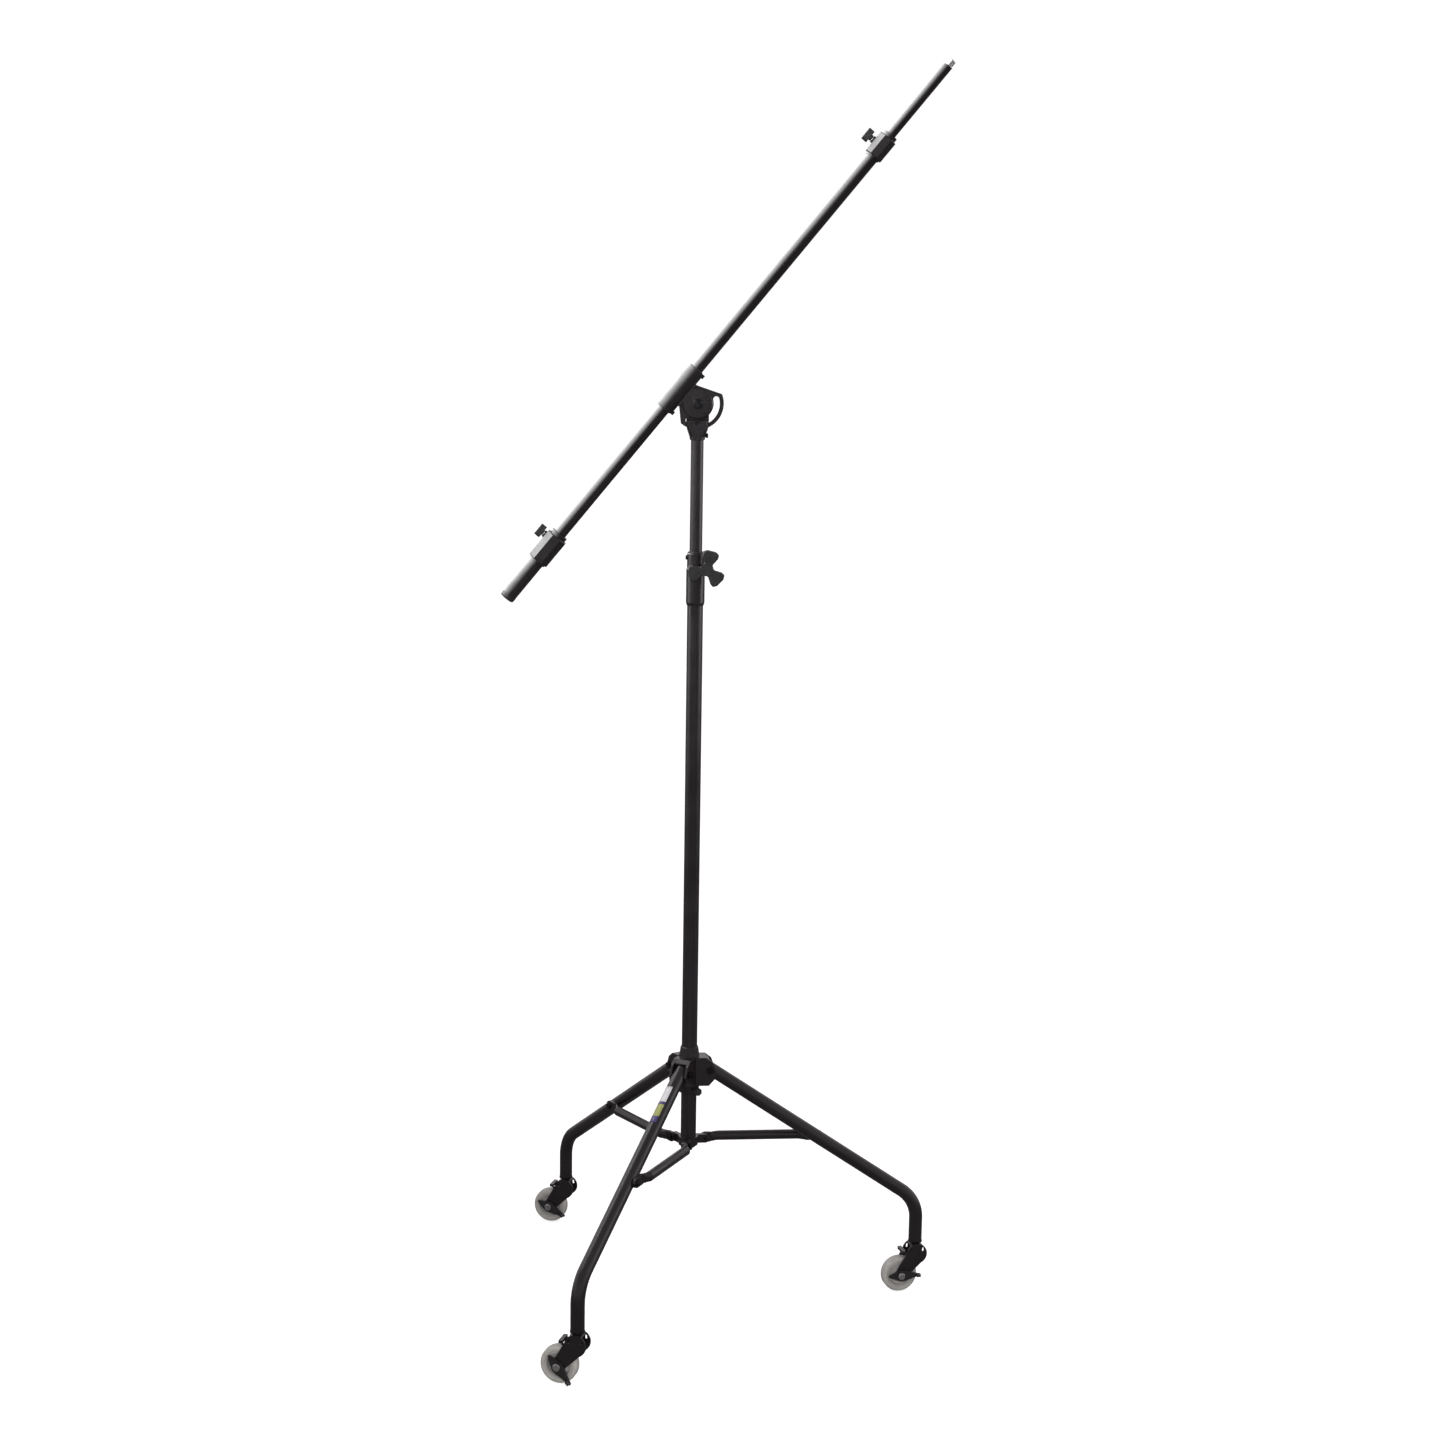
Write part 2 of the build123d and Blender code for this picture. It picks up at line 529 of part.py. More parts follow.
def neck_casting():
    """Cap on the upper tube that flares into a lug behind the quadrant and a short cheek in front of it."""
    neck = turned([(0, NECK_BOTTOM), (13.9, NECK_BOTTOM), (15.2, NECK_BOTTOM + 1.5), (15.6, NECK_BOTTOM + 6),
                   (21.0, NECK_BOTTOM + 22), (22.5, NECK_BOTTOM + 29), (22.5, NECK_BOTTOM + 38), (0, NECK_BOTTOM + 38)])
    neck &= Pos(0, 1.5, NECK_BOTTOM + 20) * Box(60, 31, 44)
    lug = disc(LUG_R, 0, PIVOT_Z, LUG_FRONT, LUG_BACK)
    lug += Pos(0, (LUG_FRONT + LUG_BACK) / 2, (PIVOT_Z + NECK_BOTTOM + 36) / 2) * Box(
        45.0, LUG_BACK - LUG_FRONT, PIVOT_Z - NECK_BOTTOM - 36)
    neck += lug
    neck -= disc(RIM_R + 1.2, 0, PIVOT_Z, -PLATE_HALF - 0.5, LUG_FRONT)
    neck -= disc(DISC_R + 2.0, 0, PIVOT_Z, -40, LUG_FRONT)
    neck -= cylinder(UPPER_R + RUN, (0, 0, NECK_BOTTOM - 1), (0, 0, UPPER_TOP + 0.2))
    neck -= cylinder(6.0, (SCREW_FACE_R, 0, SWIVEL_Z), (30, 0, SWIVEL_Z))
    neck -= disc(TILT_BOLT_R, 0, PIVOT_Z, 0, 40)
    neck -= disc(TILT_BOLT_R, 0, STOP_Z, -40, 14.0)
    return neck - cylinder(2.5 + RUN, (10, 0, SWIVEL_Z), (30, 0, SWIVEL_Z))


def tilt_bolts():
    """Tilt bolt with its round head, and the stop pin that rides in the quadrant's slot."""
    bolt = disc(TILT_BOLT_R, 0, PIVOT_Z, -9.6, 34)
    head = disc(9.5, 0, PIVOT_Z, -15.5, -9.6)
    head = chamfer(head.edges().sort_by(Axis.Y)[0], 1.6)
    pin = disc(TILT_BOLT_R, 0, STOP_Z, -12.0, 14.0)
    return [bolt + head, pin]


def friction_washer():
    return pipe(23.0, TILT_BOLT_R, (0, PLATE_HALF + 0.1, PIVOT_Z), (0, LUG_FRONT, PIVOT_Z))


def swivel_screw():
    """Small thumb screw that stops the head turning on the upper tube."""
    shank = cylinder(2.5, (UPPER_R + 0.2, 0, SWIVEL_Z), (17.5, 0, SWIVEL_Z))
    head = cylinder(4.6, (SCREW_FACE_R + 0.4, 0, SWIVEL_Z), (21.5, 0, SWIVEL_Z))
    slot = Pos(21.5, 0, SWIVEL_Z) * Box(2.4, 1.2, 12)
    return shank + head - slot


def quadrant_outline():
    """The quadrant's outline: the straight top edge, the rim and the edge against the saddle."""
    lean = radians(BOOM_ANGLE)
    seat = BOOM_OFFSET - SADDLE_R - 1.9

    def at(along):
        return (along * cos(lean) - seat * sin(lean), along * sin(lean) + seat * cos(lean))
    rim_top, rim_foot = radians(21.5), radians(-130.0)
    corner = (RIM_R * cos(rim_top), RIM_R * sin(rim_top))
    foot = (RIM_R * cos(rim_foot), RIM_R * sin(rim_foot))
    middle = (rim_top + rim_foot) / 2
    through = (RIM_R * cos(middle), RIM_R * sin(middle))
    return Line(at(-28), at(26)) + Line(at(26), corner) + ThreePointArc(corner, through, foot) + Line(foot, at(-28))


def tilt_quadrant():
    """Steel plate with an arc slot about the tilt bolt."""
    sketch = make_face(quadrant_outline())
    corners = sketch.vertices().sort_by_distance((RIM_R * cos(radians(21.5)), RIM_R * sin(radians(21.5)), 0))
    sketch = fillet(corners[0], 4.0)
    middle = (SLOT_IN + SLOT_OUT) / 2
    width = SLOT_OUT - SLOT_IN
    slot = SlotArc(CenterArc((0, 0), middle, SLOT_END, SLOT_START - SLOT_END), width)
    sketch = sketch - slot - Circle(TILT_BOLT_R + RUN)
    flat = Plane(origin=(0, -PLATE_HALF, PIVOT_Z), x_dir=(1, 0, 0), z_dir=(0, -1, 0)) * sketch
    return extrude(flat, 2 * PLATE_HALF, dir=(0, 1, 0))


def boom_saddle():
    """Sleeve for the boom with a lip under each end, and the round disc in front of the quadrant."""
    sleeve = boom_bar(SADDLE_R, -SADDLE_HALF, SADDLE_HALF)
    for along in (-SADDLE_HALF, SADDLE_HALF - 8):
        sleeve += boom_bar(7.0, along, along + 8, out=-15.0)
    plate_back = PLATE_HALF
    sleeve += saddle_pad(plate_back)
    front = -PLATE_HALF - 6.0
    face = disc(DISC_R, 0, PIVOT_Z, front, -PLATE_HALF)
    face = chamfer(face.edges().filter_by(GeomType.CIRCLE).sort_by(Axis.Y)[0], 1.4)
    boss = disc(13.0, 0, PIVOT_Z, front - 0.5, front + 1)
    sleeve += face + boss
    sleeve -= boom_bar(LINER_R, -SADDLE_HALF - 1, SADDLE_HALF + 1)
    sleeve -= disc(TILT_BOLT_R + RUN, 0, PIVOT_Z, -20, 5)
    return sleeve


def saddle_pad(plate_back):
    """Flat-footed pad between the sleeve and the top of the quadrant plate."""
    lean = radians(BOOM_ANGLE)
    seat = BOOM_OFFSET - SADDLE_R - 1.9

    def at(along, out):
        return (along * cos(lean) - out * sin(lean), PIVOT_Z + along * sin(lean) + out * cos(lean))
    points = [at(-28, seat), at(26, seat), at(30, seat + 10), at(-32, seat + 10)]
    return slab(points, -plate_back - 6, plate_back)


def saddle_liner():
    """Plastic liner that the boom slides in."""
    return boom_pipe(LINER_R, BOOM_R + RUN, -SADDLE_HALF - 1.5, SADDLE_HALF + 1.5)


def tilt_knob():
    """Five-lobed hand knob behind the head."""
    low, high = LUG_BACK + 1.0, LUG_BACK + 22.0
    knob = disc(20.0, 0, PIVOT_Z, low + 6, high)
    knob = fillet(knob.edges().sort_by(Axis.Y)[-1], 3.0)
    knob += disc(12.0, 0, PIVOT_Z, low, low + 8)
    for step in range(5):
        turn = radians(72 * step + 18)
        knob -= disc(7.0, 24.5 * cos(turn), PIVOT_Z + 24.5 * sin(turn), low + 4, high + 1)
    return knob - disc(TILT_BOLT_R + RUN, 0, PIVOT_Z, low - 1, 35.0)


# ---------------------------------------------------------------- boom

def boom_tube():
    return boom_pipe(BOOM_R, BOOM_R - BOOM_WALL, BOOM_FOOT, BOOM_HEAD)


def collar_body(low, high, half_width, upper_neck):
    """Eight-sided collar on the boom, with chamfered ends and a round neck at each end."""
    start = Vector(*boom_point(low + COLLAR_NECK))
    along = Vector(*boom_point(1)) - Vector(*boom_point(0))
    plane = Plane(origin=start, x_dir=(0, 1, 0), z_dir=along)
    sides = RegularPolygon(half_width, 8, major_radius=False, rotation=22.5)
    body = extrude(plane * sides, high - upper_neck - low - COLLAR_NECK)
    ends = body.faces().filter_by(Plane(origin=start, z_dir=along))
    body = chamfer(ends.edges(), 1.2)
    return body + boom_bar(half_width - COLLAR_NECK, low, high)


def extension_collar():
    """Collar on the head of the boom tube with a boss for its T-knob."""
    low, high = COLLAR_LOW, COLLAR_HIGH
    collar = collar_body(low, high, COLLAR_R, 8.0)
    collar += t_knob_boss(EXTENSION_KNOB_AT, COLLAR_R)
    collar -= boom_bar(BOOM_R, low - 1, BOOM_HEAD)
    collar -= boom_bar(BOOM_R, BOOM_HEAD - 1, high - 2)
    collar -= boom_bar(EXTENSION_R + 0.6, low, high + 1)
    return collar - t_knob_hole(EXTENSION_KNOB_AT, COLLAR_R)


def t_knob_boss(along, radius):
    return cylinder(7.5, boom_point(along, 4), boom_point(along, radius + 3.0))


def t_knob_hole(along, radius):
    return cylinder(4.0 + RUN, boom_point(along, 4), boom_point(along, radius + 9))


def extension_bush():
    bush = boom_pipe(BOOM_R, EXTENSION_R + RUN, BOOM_HEAD, COLLAR_HIGH - 2)
    return bush - t_knob_hole(EXTENSION_KNOB_AT, COLLAR_R)


def extension_tube():
    return boom_pipe(EXTENSION_R, EXTENSION_R - EXTENSION_WALL, EXTENSION_FOOT, EXTENSION_HEAD)


def tip_stud():
    """Threaded insert in the end of the extension: a plug, a thin collar and the thread with a chamfered end."""
    inside = EXTENSION_R - EXTENSION_WALL
    profile = [(0, EXTENSION_HEAD - 25), (inside, EXTENSION_HEAD - 25), (inside, EXTENSION_HEAD),
               (EXTENSION_R + 0.3, EXTENSION_HEAD), (EXTENSION_R + 0.3, EXTENSION_HEAD + 1.6),
               (TIP_R, EXTENSION_HEAD + 1.6), (TIP_R, TIP_END - 1.2), (TIP_R - 1.2, TIP_END), (3.2, TIP_END),
               (3.2, TIP_END - 9), (0, TIP_END - 9)]
    return boom_turned(profile)


def t_knob(along, tube_radius, collar_radius):
    """Screw that grips the tube, with a short round stem and a bar along the boom."""
    screw = cylinder(4.0, boom_point(along, tube_radius + 0.2), boom_point(along, KNOB_REACH - 5))
    stem = cylinder(6.0, boom_point(along, collar_radius + 5.0), boom_point(along, KNOB_REACH - 2))
    bar = Box(26.0, 12.5, 13.0)
    bar = fillet(bar.edges().filter_by(Axis.Z), 4.5)
    bar = fillet(bar.faces().sort_by(Axis.Z)[-1].edges(), 2.0)
    bar = bar.rotate(Axis.Y, -BOOM_ANGLE).translate(Vector(*boom_point(along, KNOB_REACH)))
    return screw + stem + bar


def weight_collar():
    """Collar of the counterweight, sliding on the boom tube."""
    low, high = WEIGHT_COLLAR_LOW, WEIGHT_COLLAR_HIGH
    collar = collar_body(low, high, WEIGHT_COLLAR_R, 8.0)
    collar += t_knob_boss(WEIGHT_KNOB_AT, WEIGHT_COLLAR_R)
    collar -= boom_bar(BOOM_R + RUN, low - 1, high + 1)
    return collar - t_knob_hole(WEIGHT_KNOB_AT, WEIGHT_COLLAR_R)


def counterweight():
    """Steel sleeve below the collar with a solid foot; the boom tube can run into it."""
    return boom_turned([(WEIGHT_BORE_R, WEIGHT_COLLAR_LOW), (WEIGHT_R, WEIGHT_COLLAR_LOW), (WEIGHT_R, WEIGHT_LOW),
                        (0, WEIGHT_LOW), (0, WEIGHT_LOW + WEIGHT_PLUG), (WEIGHT_BORE_R, WEIGHT_LOW + WEIGHT_PLUG)])


def weight_cap():
    """Plastic cap on the foot of the counterweight."""
    return boom_turned([(0, CAP_LOW), (WEIGHT_R - 1.6, CAP_LOW), (WEIGHT_R - 0.3, CAP_LOW + 1.2),
                        (WEIGHT_R + 0.3, CAP_LOW + 3), (WEIGHT_R + 0.3, WEIGHT_LOW), (0, WEIGHT_LOW)])


# ---------------------------------------------------------------- all pieces

def build_base():
    for index, azimuth in enumerate(LEG_AZIMUTHS):
        number = index + 1
        write(f"leg_tube_{number}", about_column(leg(), azimuth))
        write(f"brace_{number}", about_column(brace(), azimuth))
        write(f"brace_bolt_{number}", about_column(brace_bolt(), azimuth))
        write(f"caster_stem_{number}", place_caster(caster_stem(), index))
        write(f"caster_fork_{number}", place_caster(caster_fork(), index))
        write(f"caster_axle_{number}", place_caster(caster_axle(), index))
        write(f"caster_wheel_{number}", place_caster(caster_wheel(), index))
        write(f"caster_tyre_{number}", place_caster(caster_tyre(), index))
        write(f"brake_pedal_{number}", place_caster(brake_pedal(PEDAL_ANGLES[index]), index))
    write("hub_collar", hub_collar())
    write("hub_lock_screw", hub_lock_screw())
    write("leg_pivot_bolts", [about_column(leg_pivot_bolt(), azimuth) for azimuth in LEG_AZIMUTHS])
    write("lower_bracket", lower_bracket())
    write("bracket_bolts", [about_column(bracket_bolt(), azimuth) for azimuth in LEG_AZIMUTHS])


def build_column():
    inside = LOWER_R - LOWER_WALL
    write("column_tube", pipe(LOWER_R, inside, (0, 0, COLUMN_BOTTOM), (0, 0, COLUMN_TOP)))
    write("column_plug", column_plug())
    write("clutch_housing", clutch_housing())
    write("clutch_bush", clutch_bush())
    write("clutch_fasteners", clutch_fasteners())
    write("clutch_bolt", clutch_bolt())
    write("clutch_knob", clutch_knob())


def build_head():
    write("upper_tube", upper_tube())
    write("guide_bush", guide_bush())
    write("neck_casting", neck_casting())
    write("tilt_bolts", tilt_bolts())
    write("friction_washer", friction_washer())
    write("swivel_screw", swivel_screw())
    write("tilt_quadrant", tilt_quadrant())
    write("boom_saddle", boom_saddle())
    write("saddle_liner", saddle_liner())
    write("tilt_knob", tilt_knob())


def build_boom():
    write("boom_tube", boom_tube())
    write("extension_collar", extension_collar())
    write("extension_bush", extension_bush())
    write("extension_tube", extension_tube())
    write("tip_stud", tip_stud())
    write("extension_knob", t_knob(EXTENSION_KNOB_AT, EXTENSION_R, COLLAR_R))
    write("weight_collar", weight_collar())
    write("counterweight", counterweight())
    write("weight_cap", weight_cap())
    write("weight_knob", t_knob(WEIGHT_KNOB_AT, BOOM_R, WEIGHT_COLLAR_R))


os.makedirs("parts", exist_ok=True)
build_base()
build_column()
build_head()
build_boom()
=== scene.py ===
"""Studio, camera, materials and fine detail pieces for the boom microphone stand, around its CAD frame."""

import json
from math import cos, pi, radians, sin, tan

import bpy
from mathutils import Matrix, Vector


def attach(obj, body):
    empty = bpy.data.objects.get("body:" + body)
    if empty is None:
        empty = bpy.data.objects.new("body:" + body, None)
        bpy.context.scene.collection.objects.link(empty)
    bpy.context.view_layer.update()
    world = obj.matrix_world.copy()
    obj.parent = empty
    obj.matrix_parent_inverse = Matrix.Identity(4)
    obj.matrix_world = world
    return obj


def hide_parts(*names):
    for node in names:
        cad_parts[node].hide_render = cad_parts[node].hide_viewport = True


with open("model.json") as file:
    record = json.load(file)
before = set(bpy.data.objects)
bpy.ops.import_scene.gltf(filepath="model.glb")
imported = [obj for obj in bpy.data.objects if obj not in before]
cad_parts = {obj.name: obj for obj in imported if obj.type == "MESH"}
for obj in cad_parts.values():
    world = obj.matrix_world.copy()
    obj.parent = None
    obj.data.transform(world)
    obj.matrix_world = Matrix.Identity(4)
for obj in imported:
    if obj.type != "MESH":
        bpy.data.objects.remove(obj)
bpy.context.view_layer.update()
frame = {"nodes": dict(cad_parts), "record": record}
NODES = frame["nodes"]
MM = 0.001

# ---- camera, as the stand was photographed ----
CAMERA_AT = (0.0671, -4.6985, 1.9954)
CAMERA_PITCH = -9.397
CAMERA_YAW = 0.107
CAMERA_ROLL = 0.86
LENS = 58.74
SENSOR = 36.0

# ---- the boom's own line, in millimetres, as in the CAD ----
BOOM_ANGLE = 50.8
PIVOT_Z = 1856.0
BOOM_OFFSET = 45.0
EXTENSION_KNOB_AT, WEIGHT_KNOB_AT = 608.0, -394.0
EXTENSION_WASHER_LOW, WEIGHT_WASHER_LOW = 21.75, 24.65
EXTENSION_HEAD, TIP_END = 806.0, 820.0
EXTENSION_R, EXTENSION_BORE_R = 9.5, 8.3

# ---- the front leg's line, in millimetres, as in the CAD ----
FRONT_LEG_AZIMUTH = 245.5
LEG_SLOPE = 33.66
LEG_LINE_HEIGHT = 519.4
LEG_R = 14.0


# ---------------------------------------------------------------- shader helpers

def plug(tree, shader, name, value):
    """Sets one input of a node, or links it when the value is another node's output."""
    socket = shader.inputs[name]
    if isinstance(value, bpy.types.NodeSocket):
        tree.links.new(value, socket)
    else:
        socket.default_value = value


def add(tree, kind, inputs=None, **settings):
    made = tree.nodes.new(kind)
    for key, value in settings.items():
        setattr(made, key, value)
    for key, value in (inputs or {}).items():
        plug(tree, made, key, value)
    return made


def new_tree(name):
    """A material with an empty node tree, its output node and its object coordinates."""
    material = bpy.data.materials.new(name)
    material.use_nodes = True
    tree = material.node_tree
    tree.nodes.clear()
    output = add(tree, "ShaderNodeOutputMaterial")
    coords = add(tree, "ShaderNodeTexCoord").outputs["Object"]
    return material, tree, output, coords


def noise(tree, vector, scale, detail=2.0, roughness=0.5):
    inputs = {"Vector": vector, "Scale": scale, "Detail": detail, "Roughness": roughness}
    return add(tree, "ShaderNodeTexNoise", inputs).outputs["Fac"]


def ramp(tree, value, low, high, to_low=0.0, to_high=1.0):
    """Clamped linear map of a value."""
    inputs = {"Value": value, "From Min": low, "From Max": high, "To Min": to_low, "To Max": to_high}
    return add(tree, "ShaderNodeMapRange", inputs, clamp=True).outputs["Result"]


def mix(tree, factor, first, second):
    made = add(tree, "ShaderNodeMix", data_type="RGBA")
    plug(tree, made, 0, factor)
    for index, colour in ((6, first), (7, second)):
        plug(tree, made, index, colour if isinstance(colour, bpy.types.NodeSocket) else (*colour, 1.0))
    return made.outputs[2]


def maths(tree, operation, first, second=0.0):
    made = add(tree, "ShaderNodeMath", operation=operation)
    plug(tree, made, 0, first)
    plug(tree, made, 1, second)
    return made.outputs[0]


def stretched(tree, coords, turn_y, along_scale, across_scale):
    """Coordinates whose Z runs along a direction tilted in the XZ plane, squeezed for long streaks."""
    turned = add(tree, "ShaderNodeMapping", {"Vector": coords, "Rotation": (0.0, radians(turn_y), 0.0)})
    scale = (across_scale, across_scale, along_scale)
    return add(tree, "ShaderNodeMapping", {"Vector": turned.outputs[0], "Scale": scale}).outputs[0]


def edge_mask(tree, radius, low, high):
    """1 on sharp convex and concave edges, fading to 0 within the radius."""
    rounded = add(tree, "ShaderNodeBevel", {"Radius": radius}, samples=4).outputs[0]
    flat = add(tree, "ShaderNodeNewGeometry").outputs["Normal"]
    dot = add(tree, "ShaderNodeVectorMath", operation="DOT_PRODUCT")
    tree.links.new(rounded, dot.inputs[0])
    tree.links.new(flat, dot.inputs[1])
    return ramp(tree, maths(tree, "SUBTRACT", 1.0, dot.outputs["Value"]), low, high)


def bump(tree, height, strength, distance, normal=None):
    inputs = {"Height": height, "Strength": strength, "Distance": distance}
    if normal is not None:
        inputs["Normal"] = normal
    return add(tree, "ShaderNodeBump", inputs).outputs[0]


def soft_edges(tree, radius):
    """A shading normal that rounds the sharp edges of a machined or moulded piece."""
    return add(tree, "ShaderNodeBevel", {"Radius": radius}, samples=4).outputs[0]


def principled(tree, output, **inputs):
    shader = add(tree, "ShaderNodeBsdfPrincipled")
    for name, value in inputs.items():
        plug(tree, shader, name.replace("_", " "), value)
    tree.links.new(shader.outputs[0], output.inputs["Surface"])
    return shader


# ---------------------------------------------------------------- materials

def paint(name, dark, light, gloss, matt, peel=0.22, streak_turn=None):
    """Semi-gloss black powder coat: orange peel, mottling, dust, rubbed edges and slide marks."""
    material, tree, output, coords = new_tree(name)
    cloud = noise(tree, coords, 7.0, 4.0)
    colour = mix(tree, ramp(tree, cloud, 0.35, 0.68), dark, light)
    rough = ramp(tree, noise(tree, coords, 38.0, 3.0), 0.3, 0.7, gloss, matt)
    normal = add(tree, "ShaderNodeNewGeometry").outputs["Normal"]
    facing = add(tree, "ShaderNodeSeparateXYZ", {"Vector": normal})
    upward = ramp(tree, facing.outputs["Z"], 0.35, 1.0)
    speckle = ramp(tree, noise(tree, coords, 900.0, 1.0), 0.52, 0.74)
    dust = maths(tree, "MULTIPLY", maths(tree, "MULTIPLY", upward, speckle), 0.05)
    colour = mix(tree, dust, colour, (0.17, 0.16, 0.15))
    rough = maths(tree, "ADD", rough, maths(tree, "MULTIPLY", dust, 0.5))
    if streak_turn is not None:
        lines = noise(tree, stretched(tree, coords, streak_turn, 2.5, 420.0), 1.0, 3.0, 0.65)
        marks = ramp(tree, lines, 0.60, 0.78)
        colour = mix(tree, maths(tree, "MULTIPLY", marks, 0.30), colour, (0.075, 0.072, 0.072))
        rough = maths(tree, "ADD", rough, maths(tree, "MULTIPLY", marks, 0.12))
    chips = ramp(tree, noise(tree, coords, 160.0, 4.0, 0.7), 0.5, 0.66)
    worn = maths(tree, "MULTIPLY", edge_mask(tree, 0.0011, 0.02, 0.30), chips)
    colour = mix(tree, maths(tree, "MULTIPLY", worn, 0.4), colour, (0.15, 0.14, 0.138))
    skin = bump(tree, noise(tree, coords, 620.0, 2.0), peel, 0.0004, soft_edges(tree, 0.0007))
    shader = principled(tree, output, Base_Color=colour, Roughness=rough, Normal=skin)
    shader.inputs["Specular IOR Level"].default_value = 0.5
    return material


def plastic(name, dark, light, rough_low, rough_high, grain=0.5, grain_scale=1300.0):
    """Moulded plastic with a fine spark-eroded grain, handling shine and pale scuffed edges."""
    material, tree, output, coords = new_tree(name)
    cloud = noise(tree, coords, 30.0, 3.0)
    colour = mix(tree, ramp(tree, cloud, 0.35, 0.65), dark, light)
    scuff = ramp(tree, noise(tree, coords, 260.0, 5.0, 0.7), 0.48, 0.7)
    worn = maths(tree, "MULTIPLY", edge_mask(tree, 0.0016, 0.02, 0.4), scuff)
    pale = tuple(min(1.0, c * 3.0 + 0.05) for c in light)
    colour = mix(tree, maths(tree, "MULTIPLY", worn, 0.3), colour, pale)
    rough = ramp(tree, noise(tree, coords, 75.0, 3.0), 0.3, 0.7, rough_low, rough_high)
    pits = add(tree, "ShaderNodeTexVoronoi", {"Vector": coords, "Scale": grain_scale}).outputs["Distance"]
    skin = bump(tree, pits, grain, 0.00025, soft_edges(tree, 0.0012))
    principled(tree, output, Base_Color=colour, Roughness=rough, Normal=skin)
    return material


def metal(name, dark, light, rough_low, rough_high, radius=0.0005):
    """Plated or blackened steel: cloudy plating, fine machining lines and brighter rubbed edges."""
    material, tree, output, coords = new_tree(name)
    cloud = noise(tree, coords, 110.0, 4.0, 0.6)
    colour = mix(tree, ramp(tree, cloud, 0.35, 0.65), dark, light)
    bright = tuple(min(1.0, c * 1.5 + 0.06) for c in light)
    colour = mix(tree, maths(tree, "MULTIPLY", edge_mask(tree, 0.0008, 0.03, 0.4), 0.6), colour, bright)
    rough = ramp(tree, noise(tree, coords, 380.0, 3.0), 0.3, 0.7, rough_low, rough_high)
    lines = noise(tree, stretched(tree, coords, 0.0, 2600.0, 120.0), 1.0, 2.0)
    skin = bump(tree, lines, 0.18, 0.00012, soft_edges(tree, radius))
    principled(tree, output, Base_Color=colour, Roughness=rough, Normal=skin, Metallic=1.0)
    return material


def rubber(name):
    """Pale grey thermoplastic tread with floor dirt worked into it and fine scuffs."""
    material, tree, output, coords = new_tree(name)
    cloud = noise(tree, coords, 45.0, 4.0, 0.6)
    colour = mix(tree, ramp(tree, cloud, 0.3, 0.7), (0.40, 0.39, 0.36), (0.52, 0.51, 0.475))
    grime = ramp(tree, noise(tree, coords, 210.0, 5.0, 0.72), 0.52, 0.76)
    colour = mix(tree, maths(tree, "MULTIPLY", grime, 0.4), colour, (0.16, 0.15, 0.135))
    rough = ramp(tree, cloud, 0.3, 0.7, 0.48, 0.66)
    skin = bump(tree, noise(tree, coords, 1400.0, 3.0), 0.35, 0.0003, soft_edges(tree, 0.0012))
    shader = principled(tree, output, Base_Color=colour, Roughness=rough, Normal=skin)
    shader.inputs["Subsurface Weight"].default_value = 0.08
    shader.inputs["Subsurface Radius"].default_value = (0.004, 0.004, 0.003)
    return material


def sticker(name, dark, light):
    """Printed film: faint print grain, rubbed patches and shallow wrinkles."""
    material, tree, output, coords = new_tree(name)
    grain = ramp(tree, noise(tree, coords, 700.0, 3.0), 0.35, 0.65)
    colour = mix(tree, grain, dark, light)
    rubbed = ramp(tree, noise(tree, coords, 120.0, 5.0, 0.7), 0.56, 0.72)
    colour = mix(tree, maths(tree, "MULTIPLY", rubbed, 0.35), colour, (0.55, 0.54, 0.52))
    rough = ramp(tree, noise(tree, coords, 90.0, 3.0), 0.3, 0.7, 0.28, 0.46)
    skin = bump(tree, noise(tree, coords, 160.0, 2.0), 0.25, 0.0002)
    principled(tree, output, Base_Color=colour, Roughness=rough, Normal=skin)
    return material


DARK, LIGHT = (0.0082, 0.0062, 0.0076), (0.0145, 0.0115, 0.0135)
LOOKS = {
    "black_paint": paint("black_paint", DARK, LIGHT, 0.26, 0.38),
    "column_paint": paint("column_paint", DARK, (0.016, 0.0135, 0.0155), 0.28, 0.40, 0.18, 0.0),
    "boom_paint": paint("boom_paint", DARK, LIGHT, 0.22, 0.28, 0.05, -(90.0 - BOOM_ANGLE)),
    "black_plastic": plastic("black_plastic", (0.012, 0.0115, 0.0115), (0.022, 0.021, 0.021), 0.36, 0.52),
    "zinc": metal("zinc", (0.40, 0.40, 0.41), (0.62, 0.61, 0.58), 0.26, 0.42),
    "bright_thread": metal("bright_thread", (0.62, 0.62, 0.61), (0.80, 0.79, 0.77), 0.16, 0.28, 0.0002),
    "black_oxide": metal("black_oxide", (0.018, 0.018, 0.020), (0.040, 0.039, 0.040), 0.34, 0.5),
    "grey_tread": rubber("grey_tread"),
    "grey_core": plastic("grey_core", (0.36, 0.35, 0.33), (0.45, 0.44, 0.42), 0.38, 0.5, 0.3),
    "nylon": plastic("nylon", (0.55, 0.54, 0.50), (0.68, 0.67, 0.62), 0.38, 0.5, 0.15),
    "film_white": sticker("film_white", (0.70, 0.69, 0.70), (0.82, 0.82, 0.83)),
    "film_violet": sticker("film_violet", (0.040, 0.030, 0.130), (0.070, 0.052, 0.21)),
    "film_yellow": sticker("film_yellow", (0.30, 0.33, 0.07), (0.46, 0.48, 0.15)),
}
OWN_LOOK = {"upper_tube": "column_paint", "column_tube": "column_paint", "saddle_liner": "black_plastic",
            "clutch_bush": "black_plastic", "extension_bush": "black_plastic"}


SLOTS = {row["node"]: row["material_slot"] for row in frame["record"]["subparts"]}


def dress_cad():
    """Gives every CAD node its finish."""
    for name, piece in NODES.items():
        look = LOOKS[OWN_LOOK.get(name, SLOTS[name])]
        piece.data.materials.clear()
        piece.data.materials.append(look)


# ---------------------------------------------------------------- fine pieces

